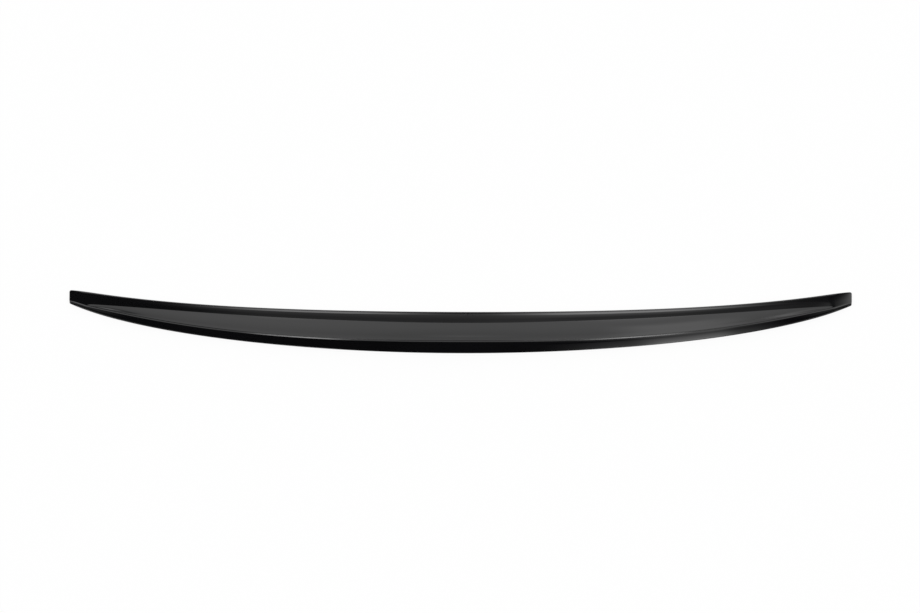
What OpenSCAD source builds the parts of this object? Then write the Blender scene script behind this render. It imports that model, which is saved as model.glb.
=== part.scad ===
// Boot-lid lip spoiler: one moulded shell, ribbed and open on its underside.
// X runs across the car, Y towards its nose and Z up. The underside lies on z = 0.
// Every section across the car has the same corners, from the front edge over the
// flange, the crease, the ramp and the lip, down the rear face and back underneath.

/* [Plan] */
// Width from tip to tip
span = 1210; // [900:10:1500]
// Depth on the centre line, from the rear edge to the front edge
depth = 94.5; // [84:0.5:110]
// How far the rear edge has swept forward by the tips
sweep = 118; // [90:1:150]
// Share of that sweep, in mm, that the rear edge makes close to the tips
rear_curl = 27; // [0:1:40]
// Depth of the blade at the tips
tip_depth = 31.5; // [26:0.5:40]
// How much further out the front of each tip reaches than its rear
tip_splay = 4.5; // [0:0.5:8]
// Width of the front flange on the centre line
flange_w = 28.5; // [22:0.5:32]
// Width that the front flange comes back to at the tips
tip_flange_w = 27; // [22:0.5:28]
// How much the flange narrows between the centre line and the tips
waist = 6.6; // [0:0.2:7]
// Length of plain blade between the end of the ramp and each tip
ramp_end = 32; // [20:1:50]
// How bluntly the ramp ends: the higher, the later it starts to run out
ramp_nose = 12; // [6:1:16]
// Radius of the front corner of each tip, seen from above
front_corner_r = 3; // [1:0.5:6]
// Radius of the rear corner of each tip, seen from above
rear_corner_r = 3; // [1:0.5:10]

/* [Heights] */
// Height of the lip on the centre line
lip_h = 18; // [13:0.5:30]
// Height that the lip falls towards at the tips, before the ramp runs out
lip_tip_h = 13; // [9:0.5:14]
// Height of the crease between flange and ramp
crease_h = 5.5; // [5:0.25:6.5]
// Height of the front edge
front_h = 5.75; // [4.5:0.25:6.5]
// Height of the blade beyond the ramp, before the tips roll off
blade_h = 8; // [6:0.25:9]
// Thickness left at the very tips
tip_h = 2.5; // [1.5:0.1:4]
// Length over which each tip rolls down
tip_roll = 40; // [15:1:60]
// Place where the lip has fallen half its way, as a share of half the span
lip_turn = 0.4; // [0.2:0.05:0.8]

/* [Section] */
// Crown of the flange above a straight line
flange_crown = 0.3; // [0:0.1:1]
// Sag of the ramp below a straight line, on the centre line
ramp_sag = 0.5; // [0:0.1:1.2]
// Lean of the rear face, its foot to the rear, in degrees
rear_lean = 28; // [10:1:32]
// Bulge of the rear face beyond a straight line, on the centre line
rear_bulge = 0.5; // [0:0.1:0.8]
// Height of the upright rim under the lip
rim_h = 2.6; // [1.5:0.1:3.5]
// How far the rim stands out beyond the rear face
rim_step = 0.5; // [0.2:0.1:1]
// Blend length on the front edge
front_blend = 5.5; // [1:0.1:6]
// Blend length in the crease
crease_blend = 0.6; // [0.5:0.1:6]
// Blend length on the lip
lip_blend = 1.6; // [0.4:0.1:2.5]
// Blend length on the edges of the underside
foot_blend = 0.5; // [0.2:0.1:1]

/* [Underside] */
// Wall thickness of the shell
wall = 3; // [2:0.1:3.2]
// Width of the front land that takes the tape
front_land = 16; // [10:0.5:18]
// Width of the rear land that takes the tape
rear_land = 12; // [9:0.5:14]
// How much the rear land thickens where it meets the rear wall
land_fillet = 1.4; // [0.8:0.1:2]
// Draft of the cavity's front wall, as a run over its height
cavity_draft = 1; // [0.5:0.1:2]
// Pitch of the cross ribs, nearly: a whole number of bays fills the cavity
rib_pitch = 75; // [50:1:110]
// Thickness of a cross rib
rib_w = 2.2; // [1.2:0.1:4]
// Draft of a rib's side, as the run from its foot to its root
rib_draft = 0.5; // [0.3:0.1:1]
// Clearance between the ribs and the plane of the lands
rib_gap = 1; // [0.4:0.1:1.5]
// Length of each tip that is solid
solid_tip = 75; // [60:1:120]

/* [Hidden] */
half = span / 2;
bow = sweep + tip_depth - depth;
crease_bow = bow + flange_w - tip_flange_w;
tip_scale = tip_h / blade_h;
face_tan = tan(rear_lean);
wall_run = wall / cos(rear_lean);
ramp_least = 1.5;
roof_least = 0.5;
bays = max(1, round(2 * (half - solid_tip) / rib_pitch));
bay_w = 2 * (half - solid_tip) / bays;
bay_steps = 4;
nose_steps = 5;
tip_steps = 8;
open_count = 9;

// Places along the span, as a share of half the span
function share(x) = abs(x) / half;
// How far a place lies along the roll of its tip, from 0 to 1
function roll(x) = max(0, (abs(x) - half + tip_roll) / tip_roll);
// What is left of the heights at a place: they roll off as a quarter ellipse
function fade(x) = tip_scale + (1 - tip_scale) * sqrt(max(0, 1 - roll(x) ^ 2));
// What is left of the ramp's rise at a place: its width goes with the root of that,
// so it ends in a blunt nose
function ramp_left(x) = max(0, 1 - (abs(x) / (half - ramp_end)) ^ ramp_nose);
// How far a corner of radius r pulls an edge in at a place
function corner(x, r) = let (d = max(0, abs(x) - half + r)) r - sqrt(max(0, r ^ 2 - d ^ 2));
// How far the rear edge lies further in than the front edge at a place
function splay(x) = tip_splay * max(0, (abs(x) - half + solid_tip) / solid_tip) ^ 2;

// The lines of the rear edge, the front edge, the lip and the crease, seen from
// above, and the heights of the lip and the crease, which meet beyond the ramp
function rear_y(x) = (sweep - rear_curl) * share(x) ^ 2 + rear_curl * share(x) ^ 6;
function front_y(x) = depth + bow * share(x) ^ 2 - 4 * waist * share(x) ^ 2 * (1 - share(x) ^ 2);
function lip_fall(x) = share(x) ^ 2 / (share(x) ^ 2 + lip_turn ^ 2);
function lip_z(x) = let (straight = lip_h - (lip_h - lip_tip_h) * lip_fall(x) / lip_fall(half))
    blade_h + (straight - blade_h) * ramp_left(x);
function crease_z(x) = blade_h + (crease_h - blade_h) * ramp_left(x);
function lip_y(x) = rear_y(x) + (lip_z(x) - rim_h) * face_tan - rim_step;
function ramp_w(x) = let (whole = depth - flange_w + crease_bow * share(x) ^ 2 - lip_y(x))
    max(ramp_least, whole * sqrt(ramp_left(x)));
function crease_y(x) = lip_y(x) + ramp_w(x);

// Sag of the ramp and bulge of the rear face, in keeping with their own widths
function sag(x) = ramp_sag * ramp_w(x) / ramp_w(0);
function bulge(x) = rear_bulge * lip_z(x) / lip_h;

// Blend of a corner: a curve that leaves and meets its two sides along them
function toward(p, q, r) = p + (q - p) * min(r / norm(q - p), 0.49);
function blend(a, p, b, r, n) = let (s = toward(p, a, r), e = toward(p, b, r))
    [for (i = [0 : n]) let (t = i / n) s * (1 - t) ^ 2 + p * 2 * t * (1 - t) + e * t ^ 2];
function middle(a, b, rise) = (a + b) / 2 + [0, 2 * rise];

// Corners of the outer skin, each with its blend length and its number of steps
function skin_corners(x) = let (
    front = [front_y(x), front_h],
    crease = [crease_y(x), crease_z(x)],
    lip = [lip_y(x), lip_z(x)],
    rim_foot = [lip_y(x) + rim_step, lip_z(x) - rim_h],
    foot = [rear_y(x), 0],
    long = span)
    [
        [[front_y(x), 0], foot_blend, 1],
        [front, front_blend, 3],
        [middle(front, crease, flange_crown), long, 3],
        [crease, crease_blend, 2],
        [middle(crease, lip, -sag(x)), long, 3],
        [lip, lip_blend, 3],
        [rim_foot, foot_blend, 1],
        [middle(rim_foot, foot, bulge(x)), long, 2],
        [foot, foot_blend, 1],
    ];

// Outer skin of a section, from its front foot over the top to its rear foot
function skin(x) = let (
    c = skin_corners(x),
    n = len(c),
    before = [front_y(x) - front_land, 0],
    after = [rear_y(x) + rear_land, 0])
    [for (i = [0 : n - 1])
        each blend(i == 0 ? before : c[i - 1][0], c[i][0], i == n - 1 ? after : c[i + 1][0],
            c[i][1], c[i][2])];

// Height of the cavity's roof: the top surface less the wall
function top_z(x, y) = y > crease_y(x)
    ? crease_z(x) + (front_h - crease_z(x)) * (y - crease_y(x)) / (front_y(x) - crease_y(x))
    : let (u = (crease_y(x) - y) / ramp_w(x))
        crease_z(x) + (lip_z(x) - crease_z(x)) * u - 4 * sag(x) * u * (1 - u);
function roof(x, y) = [y, max(roof_least + rib_gap, top_z(x, y) - wall)];

// Cavity of a section, from the rear land under the roof to the front land
function cavity(x) = let (
    land_y = rear_y(x) + rear_land,
    front_in = front_y(x) - front_land,
    roof_front = front_in - cavity_draft,
    roof_mid = min(crease_y(x), roof_front - 1),
    roof_rear = rear_y(x) + (lip_z(x) - wall) * face_tan + wall_run,
    wall_y = rear_y(x) + wall * face_tan + wall_run)
    [
        [land_y, 0],
        [land_y, wall],
        [wall_y, wall + land_fillet],
        roof(x, roof_rear),
        roof(x, roof_rear + (roof_mid - roof_rear) / 3),
        roof(x, roof_rear + (roof_mid - roof_rear) * 2 / 3),
        roof(x, roof_mid),
        roof(x, roof_front),
        [front_in, 0],
    ];

// The same points where a rib or a solid tip closes the cavity: they lie on the
// rib's foot, which comes down to the plane of the lands at the very tip
function closed(x) = let (
    land_y = rear_y(x) + rear_land,
    front_in = front_y(x) - front_land,
    gap = rib_gap * min(1, (half - abs(x)) / tip_roll),
    n = open_count - 2)
    [
        [land_y, 0],
        for (i = [1 : n]) [land_y + (front_in - land_y) * (i - 0.5) / n, gap],
        [front_in, 0],
    ];

// Stations along the span: each is its place and whether the cavity is open there.
// Those of a tip crowd together at the end of the ramp and at the very tip.
function bay(i) = let (a = -half + solid_tip + i * bay_w + rib_w / 2, b = a + bay_w - rib_w)
    [
        [a, false],
        for (k = [0 : bay_steps])
            [a + rib_draft + (b - a - 2 * rib_draft) * k / bay_steps, true],
        [b, false],
    ];
function crowded(from, to, n) = [for (k = [1 : n]) from + (to - from) * sin(90 * k / n)];
tip_x = concat(
    crowded(half - solid_tip, half - ramp_end, nose_steps),
    crowded(half - ramp_end, half, tip_steps));
last_x = len(tip_x) - 1;
stations = concat(
    [for (k = [0 : last_x]) [-tip_x[last_x - k], false]],
    [for (i = [0 : bays - 1]) each bay(i)],
    [for (x = tip_x) [x, false]]);

// A point of a section in space: the corners of the tips round the section's ends
// in, the splay leans it outward to the front, and heights fade at the tips
function placed(x, y, z) = let (
    along = (y - rear_y(x)) / (front_y(x) - rear_y(x)),
    low = rear_y(x) + corner(x, rear_corner_r),
    high = front_y(x) - corner(x, front_corner_r))
    [x - sign(x) * splay(x) * (1 - along), low + (high - low) * along - mid_y, z * fade(x)];
function ring(station) = let (x = station[0])
    [for (p = concat(skin(x), station[1] ? cavity(x) : closed(x))) placed(x, p[0], p[1])];
most_y = max([for (s = stations) front_y(s[0]) - corner(s[0], front_corner_r)]);
least_y = min([for (p = skin(0)) p[0]]);
mid_y = (most_y + least_y) / 2;

// Point inside the section of a tip, from which its end face is spread
function heart(x) = placed(x, (rear_y(x) + front_y(x)) / 2, front_h / 2);

// Solid through a row of rings that all have the same number of points, with the
// two end faces spread from a point inside each
module loft(rings, first_heart, last_heart) {
    m = len(rings[0]);
    n = len(rings);
    last = (n - 1) * m;
    polyhedron(
        points = [each [for (r = rings) each r], first_heart, last_heart],
        faces = [
            for (i = [0 : m - 1]) [n * m, i, (i + 1) % m],
            for (j = [0 : n - 2], i = [0 : m - 1])
                let (a = j * m + i, b = j * m + (i + 1) % m)
                    each [[a, b + m, b], [a, a + m, b + m]],
            for (i = [0 : m - 1]) [n * m + 1, last + (i + 1) % m, last + i],
        ],
        convexity = 10);
}

module spoiler() {
    color([0.03, 0.03, 0.035])
        loft([for (s = stations) ring(s)], heart(-half), heart(half));
}

spoiler();
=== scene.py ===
# Looks of a boot-lid lip spoiler: one gloss black moulding, ribbed underneath, on
# white paper in a dark studio. X runs across the car, Y towards its nose and Z up.
# The finished mesh is in metres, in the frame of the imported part.
import math
from functools import partialmethod
from types import SimpleNamespace

import bpy
from mathutils import Matrix, Vector


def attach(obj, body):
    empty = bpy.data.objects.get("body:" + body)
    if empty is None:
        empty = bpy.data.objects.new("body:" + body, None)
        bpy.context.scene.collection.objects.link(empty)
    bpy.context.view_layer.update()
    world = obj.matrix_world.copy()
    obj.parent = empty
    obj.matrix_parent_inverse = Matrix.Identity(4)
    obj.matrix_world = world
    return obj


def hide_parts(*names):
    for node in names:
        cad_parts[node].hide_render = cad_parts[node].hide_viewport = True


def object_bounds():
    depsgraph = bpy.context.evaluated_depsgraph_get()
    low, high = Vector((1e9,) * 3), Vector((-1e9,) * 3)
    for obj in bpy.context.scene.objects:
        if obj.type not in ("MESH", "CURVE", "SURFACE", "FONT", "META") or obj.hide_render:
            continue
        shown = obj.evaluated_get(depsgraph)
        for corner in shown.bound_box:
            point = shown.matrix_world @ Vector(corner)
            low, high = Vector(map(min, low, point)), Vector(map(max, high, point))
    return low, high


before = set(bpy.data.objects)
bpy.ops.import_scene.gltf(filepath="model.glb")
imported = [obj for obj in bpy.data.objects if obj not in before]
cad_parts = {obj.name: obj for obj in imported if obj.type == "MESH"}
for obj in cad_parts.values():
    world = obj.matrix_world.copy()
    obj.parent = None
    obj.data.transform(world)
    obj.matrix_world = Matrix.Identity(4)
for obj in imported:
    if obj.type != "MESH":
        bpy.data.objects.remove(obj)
cad_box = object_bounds()

# A millimetre in metres
MM = 0.001

# Sizes of the moulding, which become the named inputs of its node tree. They are in
# millimetres, but Rear lean is in degrees, and Ramp nose and Lip turn have no unit.
SIZES = {
    "Span": 1210,
    "Depth": 94.5,
    "Sweep": 118,
    "Rear curl": 27,
    "Tip depth": 31.5,
    "Tip splay": 4.5,
    "Flange width": 28.5,
    "Flange width at tips": 27,
    "Waist": 6.6,
    "Ramp end": 32,
    "Ramp nose": 12,
    "Front corner radius": 3,
    "Rear corner radius": 3,
    "Lip height": 18,
    "Lip height at tips": 13,
    "Crease height": 5.5,
    "Front height": 5.75,
    "Blade height": 8,
    "Tip height": 2.5,
    "Tip roll": 40,
    "Lip turn": 0.4,
    "Flange crown": 0.3,
    "Ramp sag": 0.5,
    "Rear lean": 28,
    "Rear bulge": 0.5,
    "Rim height": 2.6,
    "Rim step": 0.5,
    "Front blend": 5.5,
    "Crease blend": 0.6,
    "Lip blend": 1.6,
    "Foot blend": 0.5,
    "Wall": 3,
    "Front land": 16,
    "Rear land": 12,
    "Land fillet": 1.4,
    "Cavity draft": 1,
    "Rib gap": 1,
    "Land edge blend": 0.3,
    "Root fillet": 1.5,
    "Solid tip": 75,
}
# Sizes of the ribs, in millimetres, which place its sections along the span
RIB_PITCH = 75
RIB_WIDTH = 2.2
RIB_DRAFT = 0.5
# Clearances in millimetres that keep the ramp and the cavity's roof from folding over
RAMP_LEAST = 1.5
ROOF_LEAST = 0.5
ROOF_RUN_LEAST = 1
# The share of a side that a blend takes at most, so that two blends never meet
BLEND_SHARE = 0.49
# Sections in a bay between two ribs, up to the end of the ramp, and beyond it
BAY_STEPS = 12
NOSE_STEPS = 14
TIP_STEPS = 24
# Corners of a section in order, each with the steps of its blend: first those of the
# skin, from the front foot over the top to the rear foot, then those of the cavity
SKIN_CORNERS = {
    "front foot": 2,
    "front": 6,
    "flange": 8,
    "crease": 6,
    "ramp": 8,
    "lip": 6,
    "rim foot": 3,
    "rear face": 5,
    "foot": 3,
}
CAVITY_CORNERS = {
    "rear land edge": 2,
    "rear land root": 2,
    "rear wall": 3,
    "roof rear": 3,
    "roof low": 3,
    "roof high": 3,
    "roof crease": 3,
    "roof front": 3,
    "front land edge": 2,
}

# What each point of the blank knows, in the order of the columns in blank()
COLUMNS = ("place", "open", "cap", "corner", "turn", "share", "underside")
# Points closer than this, in millimetres, are sewn together
SEWING_DISTANCE = 0.004
# Edges that turn by more than this, in degrees, are crisp
CRISP_ANGLE = 38
# A face is bare where more than this share of its corners lies on the underside
BARE_SHARE = 0.25

# Surfaces, in millimetres: the shallow waves that sink marks leave under the lacquer at
# the pitch of the ribs, and its orange peel, whose real waves of 2 to 4 mm are drawn
# 9 mm long to show
SINK_LENGTH = RIB_PITCH
SINK_DEPTH = 0.08
PEEL_LENGTH = 9
PEEL_DEPTH = 0.007
# The slow drift of a colour: its length, and the band of the waves that it runs over
TINT_LENGTH = 160
TINT_BAND = (0.35, 0.65)
# Grain of the bare underside, drawn ten times as coarse as its real 0.15 mm to show,
# with the least roughness that it gives and what its heights add to that
GRAIN_LENGTH = 1.5
GRAIN_DEPTH = 0.05
GRAIN_DETAIL = 3
GRAIN_ROUGHNESS = 0.38
GRAIN_SPREAD = 0.16
# The mist of lacquer at its edges: reach and wander are shares of a land's width
MIST_LENGTH = 6
MIST_WANDER = 0.15
MIST_REACH = 0.4

# The studio: share of the paper's white that is its own glow, light of the world on
# matt surfaces, light of the dark walls, and the reach of floor and walls in metres
WHITE = (1, 1, 1, 1)
PAPER_GLOW = 0.85
SOFT_LIGHT = 1.0
FLOOR_REACH = 40
WALL_LIGHT = 0.022
WALL_REACH = 9
WALL_HEIGHT = 9
# Corners of a light in its own window, from the foot round to the top
WINDOW = ((0, 0), (1, 0), (1, 1), (0, 1))
# The level softbox over the part: its reach across and along, its height in metres,
# and its strengths and falloffs from the back to the front, as in LIGHTS
SOFTBOX_ABOVE = ((-3.4, 3.4), (-5.0, 1.9), 3.0, (0.35, 0.9), (0.3, 0.3, 0.3))
# Pools of light on the paper just behind the rear face, which the lip's edge mirrors as
# a thin bright line: their corners on the floor in metres, and strength and falloff
POOLS = {
    "pool_left": ((-0.35, -0.16), (-0.15, -0.16), (-0.15, -0.0726), (-0.35, -0.0488)),
    "pool_right": ((0.16, -0.16), (0.38, -0.16), (0.38, -0.0433), (0.16, -0.0727)),
}
POOL_LIFT = 0.001
POOL_LIGHT = (5.5, 5.5)
POOL_EDGE = (0.35, 0.3, 0.01)
# Lights that reflections see: azimuths and elevations in degrees, distance in metres,
# strengths at foot and top, and the shares of its width and height over which the
# light falls off at the sides, the foot and the top. The rows from "backdrop" to
# "spot_right", the window and falloffs of "behind_right" and WALL_LIGHT come from a
# program: a least-squares fit of the mirrored light to the greys of the photograph,
# which began at lights set by hand, and was rounded. All else here is given one by
# one
LIGHTS = {
    "backdrop": ((-20.6, 18.5), (7.7, 25.5), 6.0, (0.25, 0.83), (0.06, 0.2, 0.19)),
    "glow_left": ((-19.3, 7.4), (33.4, 48), 5.9, (0.5, 0.16), (0.29, 0.05, 0.31)),
    "glow_right": ((-0.5, 20.3), (33.3, 47.1), 5.8, (1.18, 0.05), (0.39, 0.1, 0.26)),
    "strip_left": ((-16.2, 0.3), (22.3, 37.1), 5.7, (0.35, 2.1), (0.49, 0.1, 0.11)),
    "strip_right": ((0, 18.8), (21.9, 38.3), 5.7, (0.73, 2.1), (0.47, 0.16, 0.14)),
    "low_left": ((-24, 4.6), (-0.3, 9.6), 5.6, (1.25, 1.2), (0.21, 0.17, 0.48)),
    "low_right": ((-5, 15), (-1.8, 12.6), 5.6, (1.3, 1.3), (0.28, 0.33, 0.34)),
    "ramp_right": ((-5.6, 26.6), (-0.5, 14.7), 5.5, (0.39, 0.15), (0.21, 0.25, 0.42)),
    "side_right": ((15, 80.5), (-17.5, 90), 5.0, (0.43, 1.48), (0.43, 0.02, 0.04)),
    "spot_left": ((-160.8, -138.3), (53, 74.6), 3.5, (10.0, 9.8), (0.2, 0.4, 0.4)),
    "spot_right": ((142.6, 165.4), (51.5, 73), 3.5, (7.2, 5.6), (0.27, 0.27, 0.27)),
    "gleam_right": ((6.0, 13.2), (11.5, 22.5), 5.4, (0.32, 0.32), (0.45, 0.4, 0.4)),
    "behind_right": ((129, 173), (-3.7, 22), 5.0, (1.5, 0.26), (0.49, 0.2, 0.09)),
    "gleam_behind": ((141, 159.5), (-3.7, 24), 5.1, (2.5, 0), (0.35, 0.2, 0.1)),
    "side_softbox_right": ((66, 134), (2, 46), 5.2, (0.25, 0.8), (0.3, 0.2, 0.3)),
    "side_softbox_left": ((-134, -66), (2, 46), 5.2, (0.25, 0.8), (0.3, 0.2, 0.3)),
}

# The camera: lens and sensor in millimetres, its height above the part's plane and its
# roll in degrees, and the eye's place in millimetres from the middle of the rear edge
LENS = 70
SENSOR = 36
CAMERA_ELEVATION = 38
CAMERA_ROLL = 0.15
EYE = (-0.9, -2047.2, 1687.5)


def add(tree, kind, settings=None, links=None):
    """Adds a node to a tree, with its settings and what goes into its sockets."""
    node = tree.nodes.new(kind)
    for name, value in (settings or {}).items():
        setattr(node, name, value)
    for socket, value in (links or {}).items():
        if isinstance(value, bpy.types.NodeSocket):
            tree.links.new(value, node.inputs[socket])
        else:
            node.inputs[socket].default_value = value
    return node


class Field:
    """A value of a tree, for use in formulas: each step of one adds a Math node."""

    def __init__(self, tree, socket):
        self.tree = tree
        self.socket = socket

    def then(self, operation, *others):
        """The outcome of a Math operation on this value and others."""
        values = [v.socket if isinstance(v, Field) else v for v in (self, *others)]
        links = dict(enumerate(values))
        node = add(self.tree, "ShaderNodeMath", {"operation": operation}, links)
        return Field(self.tree, node.outputs[0])

    __add__ = partialmethod(then, "ADD")
    __sub__ = partialmethod(then, "SUBTRACT")
    __mul__ = partialmethod(then, "MULTIPLY")
    __truediv__ = partialmethod(then, "DIVIDE")
    __pow__ = partialmethod(then, "POWER")

    def __rsub__(self, other):
        return self * -1 + other


def toward(a, b, share):
    """What lies a share of the way from a to b."""
    return a + (b - a) * share


# The blank: rings of points that already know their section and their corner
def crowded(start, end, n):
    """Places from a start to an end, which crowd together at the end."""
    return [start + (end - start) * math.sin(math.pi / 2 * k / n) for k in range(1, n + 1)]


def stations():
    """Places of the sections along the span, each with 1 where the cavity is open."""
    half = SIZES["Span"] / 2
    inside = half - SIZES["Solid tip"]
    nose = half - SIZES["Ramp end"]
    bays = max(1, round(2 * inside / RIB_PITCH))
    tip = crowded(inside, nose, NOSE_STEPS) + crowded(nose, half, TIP_STEPS)
    rows = [(-x, 0) for x in reversed(tip)]
    for bay in range(bays):
        start = -inside + bay * 2 * inside / bays + RIB_WIDTH / 2
        end = start + 2 * inside / bays - RIB_WIDTH
        rows.append((start, 0))
        for k in range(BAY_STEPS + 1):
            rows.append((start + RIB_DRAFT + (end - start - 2 * RIB_DRAFT) * k / BAY_STEPS, 1))
        rows.append((end, 0))
    rows += [(x, 0) for x in tip]
    return rows


def ring_points():
    """Points of a ring: corner, turn along its blend, and the share of the cavity's
    width where the point lies on a rib's foot, or -1 on the skin."""
    steps = [*SKIN_CORNERS.values(), *CAVITY_CORNERS.values()]
    first, last = len(SKIN_CORNERS), len(steps) - 1
    inner = sum(n + 1 for n in steps[first + 1:last])
    points = []
    passed = 0
    for corner, n in enumerate(steps):
        for k in range(n + 1):
            if corner < first:
                share = -1
            elif first < corner < last:
                share = (passed + 0.5) / inner
                passed += 1
            else:
                share = float(corner == last)
            points.append((corner, k / n, share))
    return points


def blank():
    """A tube of quads, still without a shape, with what each point needs to find its
    place."""
    rows = stations()
    rows = [(*rows[0], 1)] + [(*row, 0) for row in rows] + [(*rows[-1], 1)]
    ring = ring_points()
    n = len(ring)
    faces = []
    for j in range(len(rows) - 1):
        for i in range(n):
            after = (i + 1) % n
            faces.append((j * n + i, j * n + after, (j + 1) * n + after, (j + 1) * n + i))
    mesh = bpy.data.meshes.new("blank")
    mesh.from_pydata([(0, 0, 0)] * (n * len(rows)), [], faces)
    points = [
        (x, is_open, cap, corner, turn, max(0, share), float(share >= 0))
        for x, is_open, cap in rows
        for corner, turn, share in ring
    ]
    for name, values in zip(COLUMNS, zip(*points)):
        mesh.attributes.new(name, "FLOAT", "POINT").data.foreach_set("value", values)
    return bpy.data.objects.new("spoiler_moulding", mesh)


# The shape: a node tree that takes the blank to the moulding
def lines_along(size, away):
    """The lines that run along the moulding, at a distance from its middle: those of
    the rear edge, the front edge, the lip and the crease, and what hangs on them."""
    half = size["Span"] / 2
    share = away / half
    share_2 = share * share
    lean = (size["Rear lean"] * math.radians(1)).then("TANGENT")
    bow = size["Sweep"] + size["Tip depth"] - size["Depth"]
    rear = (size["Sweep"] - size["Rear curl"]) * share_2 + size["Rear curl"] * share_2 ** 3
    front = size["Depth"] + bow * share_2 - size["Waist"] * 4 * share_2 * (1 - share_2)

    # The lip falls towards the tips, and the ramp ends in a blunt nose short of them
    turn_2 = size["Lip turn"] ** 2
    fall = share_2 / (share_2 + turn_2) * (turn_2 + 1)
    straight = toward(size["Lip height"], size["Lip height at tips"], fall)
    nose = (away / (half - size["Ramp end"])).then("POWER", size["Ramp nose"])
    ramp_left = (1 - nose).then("MAXIMUM", 0)
    lip_z = toward(size["Blade height"], straight, ramp_left)
    crease_z = toward(size["Blade height"], size["Crease height"], ramp_left)
    lip = rear + (lip_z - size["Rim height"]) * lean - size["Rim step"]
    crease_middle = size["Depth"] - size["Flange width"]
    crease_tip = size["Sweep"] + size["Tip depth"] - size["Flange width at tips"]
    ramp = (toward(crease_middle, crease_tip, share_2) - lip) * ramp_left.then("SQRT")
    ramp = ramp.then("MAXIMUM", RAMP_LEAST)
    lip_middle = (size["Lip height"] - size["Rim height"]) * lean - size["Rim step"]
    return SimpleNamespace(
        rear=rear,
        front=front,
        rear_land=rear + size["Rear land"],
        front_land=front - size["Front land"],
        lean=lean,
        lip=lip,
        lip_z=lip_z,
        ramp=ramp,
        crease=lip + ramp,
        crease_z=crease_z,
        sag=size["Ramp sag"] * ramp / (crease_middle - lip_middle),
        bulge=size["Rear bulge"] * lip_z / size["Lip height"],
    )


def section_corners(size, line):
    """The corners of a section, in the order of SKIN_CORNERS and CAVITY_CORNERS, each
    with its place and the length of its blend."""

    def middle(a, b, rise):
        """The corner between two others that bends the line between them by a rise. It
        lies twice as far out, because a blend passes half way to its corner."""
        return (a[0] + b[0]) / 2, (a[1] + b[1]) / 2 + rise * 2

    def roof(y):
        """A point of the cavity's roof: the top surface less the wall."""
        along = (y - line.crease) / (line.front - line.crease)
        flange_z = toward(line.crease_z, size["Front height"], along)
        up = ((line.crease - y) / line.ramp).then("MAXIMUM", 0)
        ramp_z = toward(line.crease_z, line.lip_z, up) - line.sag * 4 * up * (1 - up)
        on_flange = y.then("GREATER_THAN", line.crease)
        z = toward(ramp_z, flange_z, on_flange) - size["Wall"]
        return y, z.then("MAXIMUM", size["Rib gap"] + ROOF_LEAST)

    # The plane of the lands, as a value of the tree
    zero = size["Span"] * 0
    front_top = (line.front, size["Front height"])
    crease_top = (line.crease, line.crease_z)
    lip_top = (line.lip, line.lip_z)
    rim_foot = (line.lip + size["Rim step"], line.lip_z - size["Rim height"])
    foot = (line.rear, zero)
    wall_run = size["Wall"] / (size["Rear lean"] * math.radians(1)).then("COSINE")
    wall_y = line.rear + size["Wall"] * line.lean + wall_run
    roof_rear = line.rear + (line.lip_z - size["Wall"]) * line.lean + wall_run
    roof_front = line.front_land - size["Cavity draft"]
    roof_crease = line.crease.then("MINIMUM", roof_front - ROOF_RUN_LEAST)
    return [
        ((line.front, zero), size["Foot blend"]),
        (front_top, size["Front blend"]),
        (middle(front_top, crease_top, size["Flange crown"]), size["Span"]),
        (crease_top, size["Crease blend"]),
        (middle(crease_top, lip_top, line.sag * -1), size["Span"]),
        (lip_top, size["Lip blend"]),
        (rim_foot, size["Foot blend"]),
        (middle(rim_foot, foot, line.bulge), size["Span"]),
        (foot, size["Foot blend"]),
        ((line.rear_land, zero), size["Land edge blend"]),
        ((line.rear_land, size["Wall"]), size["Land edge blend"]),
        ((wall_y, size["Wall"] + size["Land fillet"]), size["Root fillet"]),
        (roof(roof_rear), size["Root fillet"]),
        (roof(toward(roof_rear, roof_crease, 1 / 3)), size["Span"]),
        (roof(toward(roof_rear, roof_crease, 2 / 3)), size["Span"]),
        (roof(roof_crease), size["Root fillet"]),
        (roof(roof_front), size["Root fillet"]),
        ((line.front_land, zero), size["Land edge blend"]),
    ]


def blended(tree, corners, corner, turn):
    """Where a point lies on the blend of its own corner: a curve that leaves and meets
    the two sides of the corner along them."""
    n = len(corners)

    def at_corner(values):
        """The value that belongs to a point's own corner."""
        settings = {"data_type": "FLOAT"}
        node = add(tree, "GeometryNodeIndexSwitch", settings, {"Index": corner.socket})
        while len(node.index_switch_items) < n:
            node.index_switch_items.new()
        for i, value in enumerate(values):
            tree.links.new(value.socket, node.inputs[1 + i])
        return Field(tree, node.outputs[0])

    def neighbour(shift):
        """The place of the corner that lies a number of corners further on."""
        turned = [corners[(i + shift) % n][0] for i in range(n)]
        return at_corner([y for y, z in turned]), at_corner([z for y, z in turned])

    before, here, after = neighbour(-1), neighbour(0), neighbour(1)
    reach = at_corner([length for place, length in corners])

    def onto(side):
        """The point where the blend leaves its corner's side."""
        run, rise = side[0] - here[0], side[1] - here[1]
        length = (run * run + rise * rise).then("SQRT")
        part = (reach / length).then("MINIMUM", BLEND_SHARE)
        return here[0] + run * part, here[1] + rise * part

    start, end = onto(before), onto(after)
    return [
        toward(toward(start[axis], here[axis], turn), toward(here[axis], end[axis], turn), turn)
        for axis in (0, 1)
    ]


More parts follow.
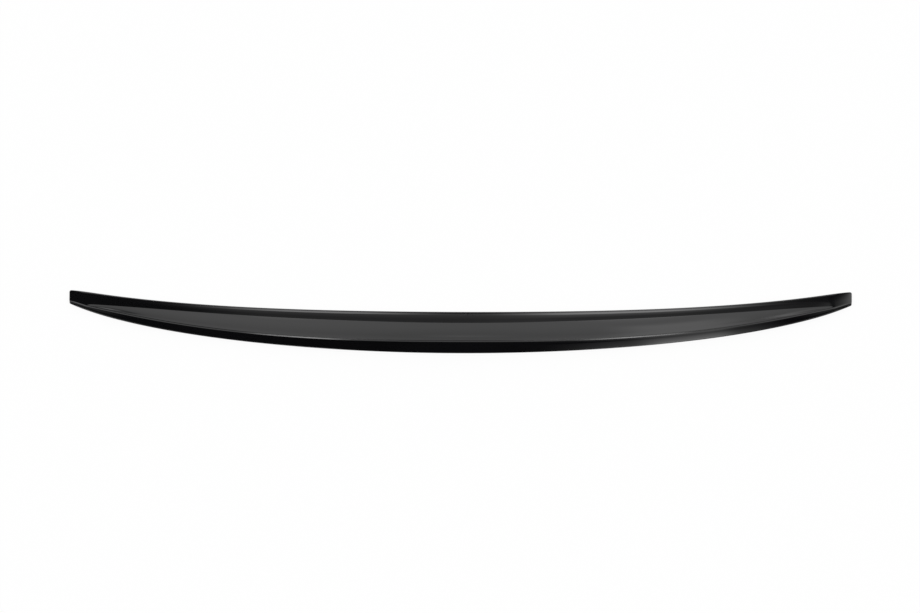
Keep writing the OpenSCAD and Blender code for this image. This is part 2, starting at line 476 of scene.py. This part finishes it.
def dressed(tree, group, geometry, underside):
    """The shape as one sewn mesh in its place, shaded and with its two surfaces."""
    links = {"Geometry": geometry, "Distance": SEWING_DISTANCE * MM}
    sewn = add(tree, "GeometryNodeMergeByDistance", links=links).outputs[0]

    # Along Y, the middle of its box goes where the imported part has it
    box = add(tree, "GeometryNodeBoundBox", links={"Geometry": sewn})
    links = {"Factor": 0.5, "A": box.outputs["Min"], "B": box.outputs["Max"]}
    centre = add(tree, "ShaderNodeMix", {"data_type": "VECTOR"}, links)
    links = {0: group.outputs["Middle"], 1: centre.outputs[1]}
    off = add(tree, "ShaderNodeVectorMath", {"operation": "SUBTRACT"}, links)
    links = {0: off.outputs[0], 1: (0, 1, 0)}
    shift = add(tree, "ShaderNodeVectorMath", {"operation": "MULTIPLY"}, links)
    links = {"Geometry": sewn, "Offset": shift.outputs[0]}
    placed = add(tree, "GeometryNodeSetPosition", links=links).outputs[0]

    # Smooth all over but for the edges that turn sharply
    links = {"Geometry": placed}
    smooth = add(tree, "GeometryNodeSetShadeSmooth", {"domain": "FACE"}, links).outputs[0]
    angle = add(tree, "GeometryNodeInputMeshEdgeAngle").outputs["Unsigned Angle"]
    sharp = Field(tree, angle).then("GREATER_THAN", math.radians(CRISP_ANGLE))
    links = {"Geometry": smooth, "Selection": sharp.socket, "Shade Smooth": False}
    crisp = add(tree, "GeometryNodeSetShadeSmooth", {"domain": "EDGE"}, links).outputs[0]

    real = add(tree, "GeometryNodeRealizeInstances", links={"Geometry": crisp}).outputs[0]
    links = {"Geometry": real, "Material": group.outputs["Finish"]}
    coated = add(tree, "GeometryNodeSetMaterial", links=links).outputs[0]
    links = {
        "Geometry": coated,
        "Selection": underside.then("GREATER_THAN", BARE_SHARE).socket,
        "Material": group.outputs["Bare side"],
    }
    return add(tree, "GeometryNodeSetMaterial", links=links).outputs[0]


def moulding_tree():
    """The rule of the moulding as a node tree: it takes the blank to its shape."""
    tree = bpy.data.node_groups.new("spoiler_moulding", "GeometryNodeTree")
    kinds = {
        "Geometry": "NodeSocketGeometry",
        **dict.fromkeys(SIZES, "NodeSocketFloat"),
        "Middle": "NodeSocketVector",
        "Finish": "NodeSocketMaterial",
        "Bare side": "NodeSocketMaterial",
    }
    tree.interface.new_socket("Geometry", in_out="OUTPUT", socket_type=kinds["Geometry"])
    for name, kind in kinds.items():
        socket = tree.interface.new_socket(name, in_out="INPUT", socket_type=kind)
        if name in SIZES:
            socket.default_value = SIZES[name]
    group = add(tree, "NodeGroupInput")
    size = {name: Field(tree, group.outputs[name]) for name in SIZES}
    point = {}
    for name in COLUMNS:
        settings = {"data_type": "FLOAT"}
        node = add(tree, "GeometryNodeInputNamedAttribute", settings, {"Name": name})
        point[name] = Field(tree, node.outputs["Attribute"])

    # A point's place on its section
    place = point["place"]
    away = place.then("ABSOLUTE")
    half = size["Span"] / 2
    line = lines_along(size, away)
    bent = blended(tree, section_corners(size, line), point["corner"], point["turn"])

    # Where a rib or a solid tip closes the cavity, its points lie on the rib's foot
    spread = point["share"]
    closed = (1 - point["open"]) * point["underside"]
    inner = spread.then("GREATER_THAN", 0) * spread.then("LESS_THAN", 1)
    gap = size["Rib gap"] * ((half - away) / size["Tip roll"]).then("MINIMUM", 1) * inner
    y = toward(bent[0], toward(line.rear_land, line.front_land, spread), closed)
    z = toward(bent[1], gap, closed)

    def cut(radius):
        """How far a rounded corner of a tip pulls an edge in."""
        d = (away - half + radius).then("MAXIMUM", 0)
        return radius - (radius * radius - d * d).then("MAXIMUM", 0).then("SQRT")

    # The end rows close on a point. The corners of the tips round a section's ends in,
    # the splay leans it outward to the front, and heights fade as the tips roll off
    along = toward((y - line.rear) / (line.front - line.rear), 0.5, point["cap"])
    roll = ((away - half + size["Tip roll"]) / size["Tip roll"]).then("MAXIMUM", 0)
    tip_scale = size["Tip height"] / size["Blade height"]
    fade = toward(tip_scale, 1, (1 - roll * roll).then("MAXIMUM", 0).then("SQRT"))
    rear_end = line.rear + cut(size["Rear corner radius"])
    front_end = line.front - cut(size["Front corner radius"])
    splay = ((away - half + size["Solid tip"]) / size["Solid tip"]).then("MAXIMUM", 0)
    x = place - place.then("SIGN") * size["Tip splay"] * splay * splay * (1 - along)
    y = toward(rear_end, front_end, along)
    z = toward(z, size["Front height"] / 2, point["cap"]) * fade
    links = {axis: (value * MM).socket for axis, value in enumerate((x, y, z))}
    where = add(tree, "ShaderNodeCombineXYZ", links=links)
    links = {"Geometry": group.outputs["Geometry"], "Position": where.outputs[0]}
    shaped = add(tree, "GeometryNodeSetPosition", links=links).outputs[0]
    finished = dressed(tree, group, shaped, point["underside"])
    add(tree, "NodeGroupOutput", links={"Geometry": finished})
    return tree


def moulding(finish, bare_side):
    """The moulding as a plain mesh, in place."""
    raw = blank()
    bpy.context.scene.collection.objects.link(raw)
    tree = moulding_tree()
    shape = raw.modifiers.new("Shape", "NODES")
    shape.node_group = tree
    low, high = cad_box
    values = {name: float(value) for name, value in SIZES.items()}
    values.update({"Middle": (low + high) / 2, "Finish": finish, "Bare side": bare_side})
    for item in tree.interface.items_tree:
        if item.in_out == "INPUT" and item.name in values:
            shape[item.identifier] = values[item.name]
    evaluated = raw.evaluated_get(bpy.context.evaluated_depsgraph_get())
    mesh = bpy.data.meshes.new_from_object(evaluated)
    mesh.name = "spoiler_moulding"
    raw.modifiers.remove(shape)
    raw.data = mesh
    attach(raw, "root")
    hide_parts("spoiler")


# The surfaces
def colour(code):
    """An sRGB hex colour as linear values, with full alpha."""
    parts = [int(code[i:i + 2], 16) / 255 for i in (1, 3, 5)]
    linear = [c / 12.92 if c <= 0.04045 else ((c + 0.055) / 1.055) ** 2.4 for c in parts]
    return (*linear, 1)


def material(name):
    """An empty node material, its tree and its output."""
    made = bpy.data.materials.new(name)
    made.use_nodes = True
    made.node_tree.nodes.clear()
    output = add(made.node_tree, "ShaderNodeOutputMaterial")
    return made, made.node_tree, output


def waves(tree, length, detail=2):
    """Soft random waves of a length in millimetres, fixed to the piece, from 0 to 1."""
    place = add(tree, "ShaderNodeTexCoord").outputs["Object"]
    links = {"Vector": place, "Scale": 1 / (length * MM), "Detail": detail}
    return add(tree, "ShaderNodeTexNoise", links=links).outputs[0]


def drift(tree, dark, pale):
    """A colour that drifts slowly between two shades over the piece."""
    ramp = add(tree, "ShaderNodeValToRGB", links={0: waves(tree, TINT_LENGTH)})
    for stop, place, code in zip(ramp.color_ramp.elements, TINT_BAND, (dark, pale)):
        stop.position = place
        stop.color = colour(code)
    return ramp.outputs[0]


def gloss_black_lacquer_on_abs():
    """Piano-black lacquer, sprayed on moulded ABS and polished: deep black under one
    sharp mirror image, which sink marks and orange peel bend a little."""
    made, tree, output = material("gloss_black_lacquer_on_abs")
    links = {"Height": waves(tree, SINK_LENGTH), "Distance": SINK_DEPTH * MM}
    sunk = add(tree, "ShaderNodeBump", links=links).outputs[0]
    links = {"Height": waves(tree, PEEL_LENGTH), "Distance": PEEL_DEPTH * MM, "Normal": sunk}
    peeled = add(tree, "ShaderNodeBump", links=links).outputs[0]
    # The black coat has the index of the clear lacquer over it, so only the top reflects
    shader = add(
        tree, "ShaderNodeBsdfPrincipled",
        links={
            "Base Color": drift(tree, "#060607", "#09090b"),
            "Roughness": 0.4,
            "IOR": 1.5,
            "Specular IOR Level": 0.0,
            "Coat Weight": 1.0,
            "Coat Roughness": 0.03,
            "Coat IOR": 1.5,
            "Normal": sunk,
            "Coat Normal": peeled,
        })
    tree.links.new(shader.outputs[0], output.inputs["Surface"])
    return made


def bare_abs_with_overspray():
    """Bare black ABS from a spark-eroded mould: an even satin grain. Lacquer that blew
    in under the edges thins out over the lands and leaves them glossier there."""
    made, tree, output = material("bare_abs_with_overspray")
    grain = Field(tree, waves(tree, GRAIN_LENGTH, GRAIN_DETAIL))
    attribute = add(tree, "ShaderNodeAttribute", {"attribute_name": "underside"})
    inward = Field(tree, attribute.outputs["Fac"])
    wander = Field(tree, waves(tree, MIST_LENGTH)) * MIST_WANDER
    mist = 1 - ((inward + wander) / MIST_REACH).then("MINIMUM", 1)
    links = {"Height": grain.socket, "Distance": GRAIN_DEPTH * MM}
    rough = add(tree, "ShaderNodeBump", links=links).outputs[0]
    shader = add(
        tree, "ShaderNodeBsdfPrincipled",
        links={
            "Base Color": drift(tree, "#151517", "#1d1d20"),
            "Roughness": (grain * GRAIN_SPREAD + GRAIN_ROUGHNESS).socket,
            "IOR": 1.54,
            "Coat Weight": mist.then("MAXIMUM", 0).socket,
            "Coat Roughness": 0.12,
            "Coat IOR": 1.5,
            "Normal": rough,
        })
    tree.links.new(shader.outputs[0], output.inputs["Surface"])
    return made


# The studio
def white_for_lens(tree, shader, share):
    """Shows a shader as it is to diffuse rays and, in that share, as white to the
    camera and to reflections."""
    path = add(tree, "ShaderNodeLightPath")
    seen = Field(tree, path.outputs["Is Camera Ray"])
    for ray in ("Is Glossy Ray", "Is Transmission Ray"):
        seen = seen.then("MAXIMUM", Field(tree, path.outputs[ray]))
    white = add(tree, "ShaderNodeEmission", links={"Color": WHITE, "Strength": 1.0})
    links = {0: (seen * share).socket, 1: shader, 2: white.outputs[0]}
    return add(tree, "ShaderNodeMixShader", links=links).outputs[0]


def stage_piece(name, points, finish):
    """A flat piece of the studio from its corners, in metres."""
    mesh = bpy.data.meshes.new(name)
    mesh.from_pydata(points, [], [tuple(range(len(points)))])
    mesh.materials.append(finish)
    piece = bpy.data.objects.new(name, mesh)
    bpy.context.scene.collection.objects.link(piece)
    return piece


def seamless_paper():
    """White background paper: matt, and bright enough to read as plain white."""
    made, tree, output = material("seamless_paper")
    paper = add(tree, "ShaderNodeBsdfDiffuse", links={"Color": colour("#fcfcfc")})
    tree.links.new(white_for_lens(tree, paper.outputs[0], PAPER_GLOW), output.inputs["Surface"])
    return made


def glow(name, low, high, edge):
    """Light of a sheet: its strength at the foot and at the top, and the shares of its
    width and height over which it falls off at the sides, the foot and the top."""
    made, tree, output = material(name)
    place = add(tree, "ShaderNodeTexCoord").outputs["UV"]
    parts = add(tree, "ShaderNodeSeparateXYZ", links={0: place})
    across, up = Field(tree, parts.outputs["X"]), Field(tree, parts.outputs["Y"])
    power = up * (high - low) + low
    side, foot, top = edge
    for inward, span in ((across, side), (1 - across, side), (up, foot), (1 - up, top)):
        settings = {"interpolation_type": "SMOOTHERSTEP"}
        links = {"Value": inward.socket, "From Max": span}
        eased = add(tree, "ShaderNodeMapRange", settings, links)
        power = power * Field(tree, eased.outputs[0])
    light = add(tree, "ShaderNodeEmission", links={"Color": WHITE, "Strength": power.socket})
    clear = add(tree, "ShaderNodeBsdfTransparent")
    both = add(tree, "ShaderNodeAddShader", links={0: light.outputs[0], 1: clear.outputs[0]})
    tree.links.new(both.outputs[0], output.inputs["Surface"])
    return made


def only_in_reflections(piece):
    """Hides a piece from the camera and from every ray but those of reflections."""
    piece.visible_camera = False
    piece.visible_diffuse = False
    piece.visible_shadow = False
    piece.visible_transmission = False
    piece.visible_volume_scatter = False


def lit_sheet(name, points, strength, edge):
    """A flat soft light that only reflections see, from its corners: the two of its
    foot, then the two of its top."""
    piece = stage_piece(name, points, glow(name, *strength, edge))
    layer = piece.data.uv_layers.new(name="window")
    for loop, corner in zip(layer.data, WINDOW):
        loop.uv = corner
    only_in_reflections(piece)


def card(name, azimuth, elevation, distance, strength, edge):
    """A lit sheet turned to the part. It fills a window of directions: azimuth from
    straight ahead to the right, and elevation."""
    turn, rise = (math.radians(sum(window) / 2) for window in (azimuth, elevation))
    wide, tall = (math.radians(window[1] - window[0]) / 2 for window in (azimuth, elevation))
    flat = Vector((math.sin(turn), math.cos(turn), 0)) * math.cos(rise)
    ahead = flat + Vector((0, 0, math.sin(rise)))
    right = Vector((math.cos(turn), -math.sin(turn), 0))
    across = right * math.tan(wide) * math.cos(rise)
    up = right.cross(ahead) * math.tan(tall)
    points = [distance * (ahead + across * (2 * u - 1) + up * (2 * v - 1)) for u, v in WINDOW]
    lit_sheet(name, points, strength, edge)


def walls():
    """Four dark walls and a ceiling around the part, which gloss black mirrors."""
    made, tree, output = material("dark_studio_wall")
    dark = add(tree, "ShaderNodeEmission", links={"Color": WHITE, "Strength": WALL_LIGHT})
    tree.links.new(dark.outputs[0], output.inputs["Surface"])
    w, h = WALL_REACH, WALL_HEIGHT
    ring = [(-w, -w), (w, -w), (w, w), (-w, w)]
    for i, (a, b) in enumerate(zip(ring, ring[1:] + ring[:1])):
        only_in_reflections(stage_piece(f"wall_{i}", [(*a, 0), (*b, 0), (*b, h), (*a, h)], made))
    only_in_reflections(stage_piece("ceiling", [(*corner, h) for corner in ring], made))


def studio():
    """Floor, walls, the lights around the part and the world."""
    r = FLOOR_REACH
    stage_piece("floor", [(-r, -r, 0), (r, -r, 0), (r, r, 0), (-r, r, 0)], seamless_paper())
    walls()
    for name, window in LIGHTS.items():
        card(name, *window)
    (left, right), (back, front), height, strength, edge = SOFTBOX_ABOVE
    corners = ((left, back), (right, back), (right, front), (left, front))
    lit_sheet("softbox_above", [(*corner, height) for corner in corners], strength, edge)
    for name, corners in POOLS.items():
        lit_sheet(name, [(*corner, POOL_LIFT) for corner in corners], POOL_LIGHT, POOL_EDGE)

    world = bpy.data.worlds.new("studio")
    bpy.context.scene.world = world
    world.use_nodes = True
    tree = world.node_tree
    tree.nodes.clear()
    soft = add(tree, "ShaderNodeBackground", links={"Color": WHITE, "Strength": SOFT_LIGHT})
    output = add(tree, "ShaderNodeOutputWorld")
    tree.links.new(white_for_lens(tree, soft.outputs[0], 1), output.inputs["Surface"])


def camera():
    """The photograph's view of the part."""
    data = bpy.data.cameras.new("camera")
    data.lens = LENS
    data.sensor_width = SENSOR
    eye = bpy.data.objects.new("camera", data)
    bpy.context.scene.collection.objects.link(eye)
    rear_edge = Vector((0, cad_box[0].y, 0))
    eye.location = Vector(EYE) * MM + rear_edge
    down = Matrix.Rotation(math.radians(90 - CAMERA_ELEVATION), 3, "X")
    roll = Matrix.Rotation(math.radians(CAMERA_ROLL), 3, "Z")
    eye.rotation_mode = "QUATERNION"
    eye.rotation_quaternion = (down @ roll).to_quaternion()
    bpy.context.scene.camera = eye


bpy.context.scene.view_settings.view_transform = "Standard"
camera()
studio()
moulding(gloss_black_lacquer_on_abs(), bare_abs_with_overspray())
